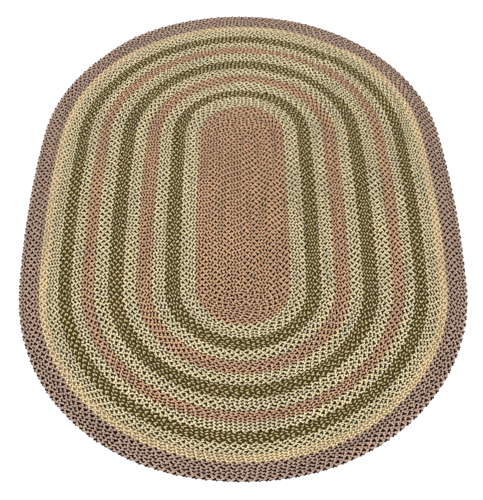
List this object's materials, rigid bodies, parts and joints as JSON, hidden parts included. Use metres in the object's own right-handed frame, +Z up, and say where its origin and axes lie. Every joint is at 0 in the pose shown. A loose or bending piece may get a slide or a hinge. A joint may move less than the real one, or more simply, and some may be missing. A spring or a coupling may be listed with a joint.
{
  "type": "braided rug",
  "caption": "Oval braided rug lying flat, laced round and round from three-strand braid in bands of tan, cream, olive and mauve.",
  "frame": {"origin": "centre of the underside, on the floor", "axes": "+Y along the rug's long way, +X across it, +Z up out of the face"},
  "size_m": [2.438, 3.352, 0.012],
  "materials": {
    "tan_yarn": "matt braided yarn, two salmon tan strands and one dark brown",
    "cream_yarn": "matt braided yarn, two cream strands and one dark olive",
    "olive_yarn": "matt braided yarn, two dark olive strands and one khaki",
    "pale_yarn": "matt braided yarn, cream and beige strands",
    "mauve_yarn": "matt braided yarn, two mauve strands and one near black"
  },
  "bodies": {
    "root": {"band_00_tan": "tan_yarn", "band_01_cream": "cream_yarn", "band_02_olive": "olive_yarn", "band_03_cream": "cream_yarn", "band_04_tan": "tan_yarn", "band_05_cream": "cream_yarn", "band_06_olive": "olive_yarn", "band_07_cream": "cream_yarn", "band_08_tan": "tan_yarn", "band_09_cream": "cream_yarn", "band_10_olive": "olive_yarn", "band_11_cream": "cream_yarn", "band_12_pale": "pale_yarn", "band_13_mauve": "mauve_yarn"}
  },
  "joints": []
}
